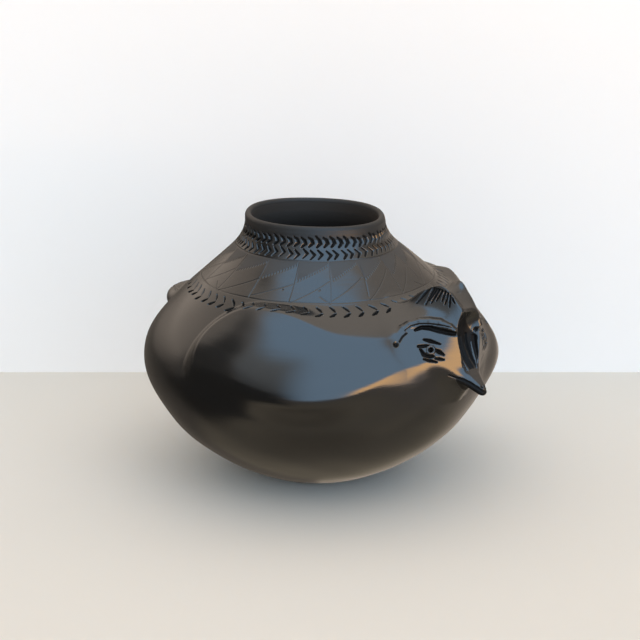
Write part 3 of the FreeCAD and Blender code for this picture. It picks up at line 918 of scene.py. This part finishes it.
def head_detail(v):
    """(displacement, mask of the cuts, which also paints shade) for points on the finished head surface."""
    a, f, zh = unroll(v[:, 0], v[:, 1], v[:, 2])
    near = np.stack(roll(-np.abs(a), f, zh), -1)
    px, py = elevation(near[:, 0], near[:, 1], near[:, 2])
    d = np.zeros(len(v))
    cut = np.zeros(len(v))
    out = rise((f - 84) / 6.0)
    # nothing is cut on the inner face of the ears or in the hollow of the face
    inner = rise((zh - z_crown(f) - 0.5) / 2.0) * rise((a_ear(f) - np.abs(a)) / 1.2)
    face_in = rise((f - 118.0) / 3.0) * rise((a_ridge(zh) - 0.8 - np.abs(a)) / 1.5) * rise((zh - 104.0) / 4.0)
    out = out * (1 - inner) * (1 - face_in)
    out = out * (1 - rise((a - 2.0) / 2.0) * rise((zh - z_ear(f) + 7.0) / 2.0))
    # painted shade under the arch of the ear, darkened through the cut mask
    under = (rise((zh - z_ear(f) + 12.5) / 4.0) * rise((z_ear(f) - 0.8 - zh) / 1.5)
             * rise((np.abs(a) - a_ear(f) - 0.4) / 1.2) * rise((f - 96.0) / 5.0) * rise((133.0 - f) / 3.0))
    cut = 0.38 * under
    aa = np.abs(a)
    for p, q, w0, w1 in FAN:
        d = np.minimum(d, -1.3 * groove(aa, zh, p, q, w0, w1) * rise((f - 118.0) / 4.0))
    # lit ridges, which lift the painted shade of the valley
    streak = np.zeros(len(v))
    for p, q, w0, w1 in VALLEY_LIT_RIDGES:
        streak = np.maximum(streak, groove(aa, zh, p, q, w0, w1))
    # incised lines round the ear, brow, eye and mouth, painted dark inside as shade through the cut mask
    for p, q, wa, wb, dep, dark in HEAD_CUTS:
        g = groove(px, py, p, q, wa, wb) * out
        d = np.minimum(d, -dep * g)
        cut = np.maximum(cut, np.minimum(1.35 * dark * g, 1.0))
    # raised ring of the eye, pierced in the middle
    r = np.sqrt((np.abs(a) - EYE[0]) ** 2 + (f - EYE[1]) ** 2 + (zh - EYE[2]) ** 2)
    ex, ey = elevation(*[np.atleast_1d(c) for c in roll(-EYE[0], EYE[1], EYE[2])])
    er = np.hypot(px - ex[0], py - ey[0]) * 0.72
    m = r < 9
    ringed = 0.6 * np.exp(-((er - 2.6) / 0.8) ** 2)
    d = np.where(m, np.where(er < 3.6, np.maximum(d, -0.25) + ringed, d), d)
    hole = np.where(m, np.clip((1.75 - er) / 0.45, 0, 1), 0)
    d = d - 3.4 * rise(hole)
    # the pierced pupil is painted dark inside as shade
    cut = np.where(m & (er < 3.3), hole, cut)
    # the clay below the mouth line, at the root of the beak, is darkened and roughened through the cut mask
    jaw = rise((f - 131.0) / 4.0) * rise((mouth_z(f) + 1.3 - zh) / 1.0) * (zh < 101) * (aa < 15)
    cut = np.maximum(cut, 0.8 * jaw)
    # painted shade in the hollow of the face: the valley is darkened through the cut mask, less along the lit
    # ridges
    deep = (rise((f - 116.0) / 3.0) * rise((a_ridge(zh) + 0.9 - aa) / 1.0)
            * rise((139.0 - zh - 1.35 * aa) / 4.0) * rise((zh - 99.0) / 4.0))
    cut = np.maximum(cut, 0.95 * deep * (1 - 1.2 * np.clip(streak * 1.6, 0, 0.8)))
    th, s, dw = wall_distance(v[:, 0], v[:, 1], v[:, 2])
    dh = head_only(a, f, zh)
    w = rise((dh - dw + 3.5 + relief(th, s, dip=False)) / 5.5)
    dd, mt, cc2 = decoration(th, s)
    d = d + dd * w
    cut = np.maximum(cut, cc2 * w)
    return d, cut


def sculpt(field, detail, lo, hi, h, keep_depth, normal_e=0.25):
    """Nets, projection, detail and normals. Returns v, n, quads, attributes."""
    xs = [np.arange(l, u + h * 0.5, h) for l, u in zip(lo, hi)]
    F = np.empty([len(x) for x in xs], np.float32)
    Y, Z = np.meshgrid(xs[1], xs[2], indexing="ij")
    # the field is worked out in slabs of twelve planes at a time
    for i0 in range(0, len(xs[0]), 12):
        xb = xs[0][i0:i0 + 12]
        X3 = np.broadcast_to(xb[:, None, None], (len(xb),) + Y.shape)
        Y3 = np.broadcast_to(Y, X3.shape)
        Z3 = np.broadcast_to(Z, X3.shape)
        F[i0:i0 + 12] = field(X3.ravel(), Y3.ravel(), Z3.ravel()).reshape(X3.shape)
    v, q = nets(F, lo, h)
    for _ in range(4):
        val = field(v[:, 0], v[:, 1], v[:, 2])
        g = gradient(field, v)
        gg = (g * g).sum(1)
        step = np.clip(val / np.maximum(gg, 0.05), -0.5, 0.5)
        v = v - g * step[:, None]
    th, s, dw = wall_distance(v[:, 0], v[:, 1], v[:, 2])
    under = dw - np.maximum(relief(th, s, dip=False), 0)
    ok = under > -keep_depth
    q = q[ok[q].all(1)]
    used = np.unique(q)
    back = np.full(len(v), -1)
    back[used] = np.arange(len(used))
    v, q = v[used], back[q]
    n = unit(gradient(field, v, normal_e))
    d, cut = detail(v)
    # tangents, and the slope of the detail along them
    ref = np.where(np.abs(n[:, 2:3]) < 0.8, np.array([[0, 0, 1.0]]), np.array([[1.0, 0, 0]]))
    t1 = unit(np.cross(ref, n))
    t2 = np.cross(n, t1)
    e = 0.16
    g1 = (detail(v + t1 * e)[0] - detail(v - t1 * e)[0]) / (2 * e)
    g2 = (detail(v + t2 * e)[0] - detail(v - t2 * e)[0]) / (2 * e)
    n2 = unit(n - t1 * g1[:, None] - t2 * g2[:, None])
    return v + n * d[:, None], n2, q, cut, v


def head_labels(v):
    a, f, z = unroll(v[:, 0], v[:, 1], v[:, 2])
    aa = np.abs(a)
    side = np.where(a < 0, 0, 1)           # 0 right, 1 left
    lab = np.zeros(len(v), int)            # head_shell
    ear = (z > z_ear(f) - 9.5) & (aa > a_ear(f) - 3.0) & (f > 95) & (f < 132)
    lab[ear] = 1 + side[ear]
    bar = polyline_distance(aa, f, z, BROW, BROW_R)
    brow = (bar < 0.35) & (z > 120)
    lab[brow] = 3 + side[brow]
    er = np.sqrt((aa - EYE[0]) ** 2 + (f - EYE[1]) ** 2 + (z - EYE[2]) ** 2)
    lab[er < 4.6] = 5 + side[er < 4.6]
    bk = (beak_field(a, f, z) < 0.6) & (f > 131.0) & (z < 104)
    upper = z > mouth_z(f)
    lab[bk & upper] = 7
    lab[bk & ~upper] = 8
    return lab


HEAD_NODES = ["head_shell", "ear_tuft_right", "ear_tuft_left", "brow_right", "brow_left",
              "eye_right", "eye_left", "upper_beak", "lower_beak"]

# ================================================================= the tail
_tb = [96, 104, 118, 129, 136, 140.0, 142.2, 146]
t_hw = soft_table(_tb, [36, 33, 29, 23.6, 17.2, 10.6, 4.0, -6], 0.35)
t_hh = soft_table(_tb, [19, 17.5, 14.0, 10.5, 7.4, 5.0, 2.0, -3], 0.35)
t_zc = soft_table(_tb, [103, 104, 105.5, 107, 108, 108.4, 108.5, 108.6], 0.35)


def tail_field(x, y, z, sink=True):
    hw, hh = np.maximum(t_hw(y), 0.5), np.maximum(t_hh(y), 0.5)
    u, v = np.abs(x) / hw, np.abs(z - t_zc(y)) / hh
    rr = (u ** 2.2 + v ** 2.0 + 1e-9) ** (1 / 2.1)
    d = smax((rr - 1) * np.minimum(hw, hh), y - 142.2, 1.0)
    th, s, dw = wall_distance(x, y, z)
    k = 10.0
    gap = (k - np.abs(d - dw)) / k
    h = np.clip(gap, 0, None)
    F = np.minimum(d, dw) - h * h * k * 0.25
    if sink:
        F = F + np.where(d > dw, np.clip(-gap, 0, 1.5), 0) ** 2 * k * 0.5
    return F


def tail_detail(v):
    d = np.zeros(len(v))
    cut = np.zeros(len(v))
    # five feather grooves along the top
    for x0, x1 in ((-20, -8.5), (-10, -4.2), (0, 0), (10, 4.2), (20, 8.5)):
        for sign in (1,):
            m = v[:, 2] > t_zc(v[:, 1]) + 1.5
            g = groove(v[:, 0], v[:, 1], (x0, 122.0), (x1, 138.5), 1.2, 0.8) * m
            d = np.minimum(d, -0.5 * g)
            # painted shade in the feather grooves, through the cut mask
            cut = np.maximum(cut, 0.5 * g)
    th, s, dw = wall_distance(v[:, 0], v[:, 1], v[:, 2])
    hw, hh = np.maximum(t_hw(v[:, 1]), 0.5), np.maximum(t_hh(v[:, 1]), 0.5)
    rr = np.sqrt((v[:, 0] / hw) ** 2 + ((v[:, 2] - t_zc(v[:, 1])) / hh) ** 2)
    dh = (rr - 1) * np.minimum(hw, hh)
    w = rise((dh - dw) / 6.0)
    dd, mt, c2 = decoration(th, s)
    return d + dd * w, np.maximum(cut, c2 * w)


# ============================================================ build the mesh
objs = {}


def steps(a, b, h):
    n = max(2, int(round((b - a) / h)) + 1)
    return np.linspace(a, b, n)


def join_rows(*parts):
    out = [parts[0]]
    for p in parts[1:]:
        out.append(p[1:])
    return np.concatenate(out)


SZ = lambda z: float(s_of(z))
objs["base_pan"] = ring("v_base_pan", 0.0, 13.9, 360, steps(TS[0], SZ(13.9), 1.0), 20)
objs["lower_wall_coil"] = ring("v_lower_wall_coil", 13.9, 41.1, 480, steps(SZ(13.9), SZ(41.1), 1.6), 14)
objs["belly_coil"] = ring("v_belly_coil", 41.1, 88.0, 640, steps(SZ(41.1), SZ(88.0), 1.6), 16)
objs["shoulder_coil"] = ring("v_shoulder_coil", 88.0, 125.2, 720, steps(SZ(88.0), SZ(125.2), 1.3), 16)
objs["upper_shoulder_coil"] = ring(
    "v_upper_shoulder_coil", 125.2, 145.9, 1500,
    join_rows(steps(SZ(125.2), SZ(135.0), 1.6), steps(SZ(135.0), SZ(145.9), 0.34)), 6)
objs["neck_base_coil"] = ring("v_neck_base_coil", 145.9, 168.6, 1240, steps(SZ(145.9), SZ(168.6), 0.4), 7)
objs["neck_collar"] = ring("v_neck_collar", 168.6, 181.8, 1200, steps(SZ(168.6), SZ(181.8), 0.3), 6)
objs["rim_coil"] = ring(
    "v_rim_coil", 181.8, 190.7, 1200,
    join_rows(steps(SZ(181.8), SZ(184.6), 0.3), steps(SZ(184.6), TS[-1], 0.5)), lip=True)

wing_rows = join_rows(steps(-66.0, 0.0, 1.3), steps(0.0, 14.0, 0.5), steps(14.0, 28.0, 1.3),
                      steps(28.0, 52.0, 0.42))
objs["wing_right"] = pad("v_wing_right", -1, 9.0, 106.0, wing_rows, 0.46)
objs["wing_left"] = pad("v_wing_left", 1, 9.0, 106.0, wing_rows, 0.46)

hv, hn, hq, hcut, hraw = sculpt(head_field, head_detail, (-64, -152, 76), (64, -78, 162), 0.5, 1.2)
lab = head_labels(hraw)
fl = np.sort(lab[hq], 1)
face_lab = np.where(fl[:, 1] == fl[:, 2], fl[:, 1], fl[:, 3])
for i, node in enumerate(HEAD_NODES):
    sel = hq[face_lab == i]
    at = {"matte": np.zeros(len(hv)), "cut": hcut, "satin": np.zeros(len(hv)), "inside": np.zeros(len(hv))}
    objs[node] = shell_from_patch("v_" + node, hv, hn, sel, at, 1.2)

tv, tn, tq, tcut, traw = sculpt(tail_field, tail_detail, (-58, 84, 70), (58, 146, 142), 0.8, 1.2)
at = {"matte": np.zeros(len(tv)), "cut": tcut, "satin": np.zeros(len(tv)), "inside": np.zeros(len(tv))}
objs["tail"] = shell_from_patch("v_tail", tv, tn, tq, at, 1.5)


# ================================================================ materials
def clay(name, rough, streaks, gloss=0.5):
    m = bpy.data.materials.new(name)
    m.use_nodes = True
    nt = m.node_tree
    N, L = nt.nodes, nt.links
    bsdf = N["Principled BSDF"]
    bsdf.inputs["IOR"].default_value = 1.5
    bsdf.inputs["Specular IOR Level"].default_value = gloss
    tex = N.new("ShaderNodeTexCoord")

    def mapped(sx, sy, sz):
        mp = N.new("ShaderNodeMapping")
        mp.inputs["Scale"].default_value = (sx, sy, sz)
        L.new(tex.outputs["Object"], mp.inputs["Vector"])
        return mp.outputs["Vector"]

    def noise(vec, scale, detail, roughness=0.55):
        n = N.new("ShaderNodeTexNoise")
        n.inputs["Scale"].default_value = scale
        n.inputs["Detail"].default_value = detail
        n.inputs["Roughness"].default_value = roughness
        L.new(vec, n.inputs["Vector"])
        return n.outputs["Fac"]

    def attr(key):
        a = N.new("ShaderNodeAttribute")
        a.attribute_name = key
        return a.outputs["Fac"]

    def math_node(op, a, b, c=None):
        n = N.new("ShaderNodeMath")
        n.operation = op
        for i, x in enumerate((a, b, c)):
            if x is None:
                continue
            if isinstance(x, (int, float)):
                n.inputs[i].default_value = x
            else:
                L.new(x, n.inputs[i])
        return n.outputs[0]

    def blend(fac, a, b):
        n = N.new("ShaderNodeMix")
        n.data_type = "RGBA"
        for sock, x in ((n.inputs[0], fac), (n.inputs[6], a), (n.inputs[7], b)):
            if isinstance(x, (int, float)):
                sock.default_value = x
            elif isinstance(x, tuple):
                sock.default_value = x
            else:
                L.new(x, sock)
        return n.outputs[2]

    cloud = noise(mapped(1, 1, 1), 16, 3)
    streak = noise(mapped(14, 14, 260), 1.0, 4)
    streak2 = noise(mapped(40, 40, 900), 1.0, 3)
    grain = noise(mapped(1, 1, 1), 900, 2)
    black = (0.0058, 0.0052, 0.0047, 1)
    soot = (0.0090, 0.0080, 0.0070, 1)
    base = blend(cloud, black, soot)
    base = blend(math_node("MULTIPLY", attr("matte"), 0.85), base, (0.017, 0.0148, 0.0128, 1))
    base = blend(math_node("MULTIPLY", attr("inside"), 1.0), base, (0.046, 0.033, 0.0245, 1))
    base = blend(math_node("MULTIPLY", attr("satin"), 0.8), base, (0.0165, 0.0140, 0.0118, 1))
    # painted shade: the clay is darkened wherever the cut mask is set, in grooves, holes, under the ears and in
    # the hollow of the face
    base = blend(math_node("MULTIPLY", attr("cut"), 0.75), base, (0.0035, 0.0030, 0.0026, 1))
    L.new(base, bsdf.inputs["Base Color"])
    r = math_node("MULTIPLY_ADD", streak, 0.10 * streaks, rough - 0.05 * streaks)
    r = math_node("MULTIPLY_ADD", cloud, 0.10, math_node("ADD", r, -0.05))
    r = math_node("MULTIPLY_ADD", attr("matte"), 0.34, r)
    r = math_node("MULTIPLY_ADD", attr("satin"), 0.32, r)
    r = math_node("MULTIPLY_ADD", attr("inside"), 0.30, r)
    r = math_node("MULTIPLY_ADD", attr("cut"), 0.40, r)
    r = math_node("MINIMUM", r, 0.9)
    L.new(r, bsdf.inputs["Roughness"])
    hsum = math_node("MULTIPLY_ADD", streak2, 0.35, math_node("MULTIPLY", streak, 1.0))
    hsum = math_node("MULTIPLY_ADD", grain, math_node("MULTIPLY_ADD", attr("inside"), 0.5, 0.05), hsum)
    bump = N.new("ShaderNodeBump")
    bump.inputs["Strength"].default_value = 0.10 * streaks
    bump.inputs["Distance"].default_value = 0.0006
    L.new(hsum, bump.inputs["Height"])
    L.new(bump.outputs["Normal"], bsdf.inputs["Normal"])
    return m


wall_clay = clay("burnished_clay", 0.20, 1.0)
relief_clay = clay("polished_clay", 0.17, 1.0)
lip_clay = clay("satin_clay", 0.20, 1.0, 0.32)
# a less glossy copy of the clay, for the faces deepest in that painted groove shade
cut_clay = clay("cut_clay", 0.20, 1.0, 0.12)
WALL_NODES = ("base_pan", "lower_wall_coil", "belly_coil", "shoulder_coil",
              "upper_shoulder_coil", "neck_base_coil", "neck_collar", "rim_coil")
for node, o in objs.items():
    o.data.materials.append(lip_clay if node == "rim_coil" else wall_clay if node in WALL_NODES else relief_clay)
    used = np.empty(len(o.data.polygons), np.int32)
    o.data.polygons.foreach_get("material_index", used)
    if used.max() > 0:
        o.data.materials.append(cut_clay)
    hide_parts(node)
    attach(o, "root")


# ============================================================ floor and wall
def plain(name, colour, rough):
    m = bpy.data.materials.new(name)
    m.use_nodes = True
    b = m.node_tree.nodes["Principled BSDF"]
    b.inputs["Base Color"].default_value = colour
    b.inputs["Roughness"].default_value = rough
    b.inputs["Specular IOR Level"].default_value = 0.2
    return m


def sheet_mesh(name, corners, mat):
    me = bpy.data.meshes.new(name)
    me.from_pydata(corners, [], [(0, 1, 2, 3)])
    o = bpy.data.objects.new(name, me)
    bpy.context.scene.collection.objects.link(o)
    me.materials.append(mat)
    return o


fwd = Vector((-_c[0], -_c[1], 0)).normalized()
rgt = Vector((_right[0], _right[1], 0))
back = fwd * 0.220
floor_mat = plain("pale_floor", (0.68, 0.665, 0.615, 1), 0.7)
wall_mat = plain("pale_wall", (0.935, 0.905, 0.87, 1), 0.8)
W = 2.2
sheet_mesh("floor", [tuple(back - rgt * W), tuple(back - fwd * 3.2 - rgt * W),
                     tuple(back - fwd * 3.2 + rgt * W), tuple(back + rgt * W)], floor_mat)
up = Vector((0, 0, 1.6))
sheet_mesh("wall", [tuple(back - rgt * W), tuple(back + rgt * W),
                    tuple(back + rgt * W + up), tuple(back - rgt * W + up)], wall_mat)


# ==================================================================== lights
# A soft studio surround: a tall cool window in front and to the right, a pale
# ceiling, a low warm strip on the right, dark cards on the left and the pale
# bounce of the table from below. Angles in degrees: az from the viewer,
# to the right positive; el above the horizon.
world = bpy.data.worlds.new("studio")
bpy.context.scene.world = world
world.use_nodes = True
wt = world.node_tree
WN, WL = wt.nodes, wt.links
wtc = WN.new("ShaderNodeTexCoord")


def wdot(v):
    n = WN.new("ShaderNodeVectorMath")
    n.operation = "DOT_PRODUCT"
    n.inputs[1].default_value = v
    WL.new(wtc.outputs["Generated"], n.inputs[0])
    return n.outputs["Value"]


def wmath(op, *args):
    n = WN.new("ShaderNodeMath")
    n.operation = op
    for i, x in enumerate(args):
        if isinstance(x, (int, float)):
            n.inputs[i].default_value = x
        else:
            WL.new(x, n.inputs[i])
    return n.outputs[0]


def wramp(x, a, b):
    """0 before a, 1 past b, smooth between, in degrees."""
    n = WN.new("ShaderNodeMapRange")
    n.interpolation_type = "SMOOTHSTEP"
    n.inputs["From Min"].default_value = min(a, b)
    n.inputs["From Max"].default_value = max(a, b)
    n.inputs["To Min"].default_value = 0.0 if a < b else 1.0
    n.inputs["To Max"].default_value = 1.0 if a < b else 0.0
    WL.new(x, n.inputs["Value"])
    return n.outputs["Result"]


def wlin(x, a, b):
    n = WN.new("ShaderNodeMapRange")
    n.inputs["From Min"].default_value = a
    n.inputs["From Max"].default_value = b
    WL.new(x, n.inputs["Value"])
    return n.outputs["Result"]


def wmul(*xs):
    out = xs[0]
    for x in xs[1:]:
        out = wmath("MULTIPLY", out, x)
    return out


def wmix(fac, a, b):
    n = WN.new("ShaderNodeMix")
    n.data_type = "RGBA"
    WL.new(fac, n.inputs[0])
    for sock, x in ((n.inputs[6], a), (n.inputs[7], b)):
        if isinstance(x, tuple):
            sock.default_value = x + (1.0,)
        else:
            WL.new(x, sock)
    return n.outputs[2]


deg = 180.0 / math.pi
w_r, w_t, w_u = wdot(tuple(rgt)), wdot(tuple(-fwd)), wdot((0, 0, 1))
az = wmath("MULTIPLY", wmath("ARCTAN2", w_r, w_t), deg)
el = wmath("MULTIPLY", wmath("ARCSINE", w_u), deg)
col = wmix(wlin(el, 18, 88), (0.58, 0.49, 0.41), (2.55, 2.25, 1.95))
# behind on the left it is brighter, from the pale wall
col = wmix(wmul(wramp(az, -100, -114), wramp(az, -164, -146), wramp(el, 6, 20), wramp(el, 62, 46)),
           col, (1.45, 1.22, 1.02))
# dim middle ground to the left of the window
mid = wmix(wlin(el, -5, 55), (0.42, 0.42, 0.42), (1.30, 1.38, 1.42))
col = wmix(wmul(wramp(az, -74, -58), wramp(az, 20, 0), wramp(el, -22, -12)), col, mid)
# table from below, darkest right under the jar
col = wmix(wramp(el, -28, -50), col, (0.66, 0.55, 0.40))
col = wmix(wramp(el, -60, -76), col, (0.40, 0.33, 0.235))
col = wmix(wmul(wramp(w_t, 0.12, -0.12), wramp(el, -28, -46)), col, (0.40, 0.34, 0.255))
col = wmix(wmul(wramp(az, -96, -112), wramp(el, 8, -4), wramp(el, -52, -40)), col, (0.17, 0.145, 0.12))
# dark cards
col = wmix(wmul(wramp(az, -108, -92), wramp(az, -60, -76), wramp(el, 64, 50), wramp(el, -58, -44)),
           col, (0.15, 0.13, 0.11))
col = wmix(wmul(wramp(az, -124, -102), wramp(az, -8, -40), wramp(el, -4, -12), wramp(el, -58, -44)),
           col, (0.05, 0.04, 0.03))
# window, and its upper end right overhead
win = wmul(wramp(az, -28, 3), wramp(az, 70, 62), wramp(el, -26, -21))
top = wmul(wramp(w_t, -0.04, 0.07), wramp(w_r, -0.52, -0.36), wramp(w_r, 0.56, 0.44), wramp(el, 50, 62))
col = wmix(wmath("MAXIMUM", win, top), col, (2.0, 3.0, 4.15))
# low warm strip
warm = wmul(wramp(az, 20, 31), wramp(az, 68, 60), wramp(el, -25, -20), wramp(el, 6, -6))
col = wmix(warm, col, (12.2, 7.2, 3.3))
# what lights the matte surfaces is plain and even
lp = WN.new("ShaderNodeLightPath")
col = wmix(lp.outputs["Is Diffuse Ray"], col, (0.86, 0.835, 0.80))
WL.new(col, WN["Background"].inputs["Color"])
WN["Background"].inputs["Strength"].default_value = 1.0
for o in bpy.context.scene.objects:
    if o.name in ("floor", "wall"):
        o.visible_glossy = False
# warm fill for the table and the wall only
li = bpy.data.lights.new("warm_fill", "AREA")
li.shape = "RECTANGLE"
li.size, li.size_y = 2.4, 2.0
li.energy = 7.5
li.color = (1.0, 0.57, 0.24)
lo = bpy.data.objects.new("warm_fill", li)
lo.location = Vector((0, 0, 1.7)) - fwd * 0.5
lo.rotation_euler = (fwd * 0.35 - Vector((0, 0, 1.7))).to_track_quat("-Z", "Y").to_euler()
lo.visible_glossy = False
bpy.context.scene.collection.objects.link(lo)

# ==================================================================== camera
cam = bpy.data.cameras.new("camera")
cam.lens = 100.0
cam.sensor_width = 36.0
co = bpy.data.objects.new("camera", cam)
co.location = Vector(_C * 0.001) + rgt * 0.00158
co.rotation_euler = Vector(_c).to_track_quat("Z", "Y").to_euler()
bpy.context.scene.collection.objects.link(co)
bpy.context.scene.camera = co
bpy.context.scene.view_settings.view_transform = "Standard"
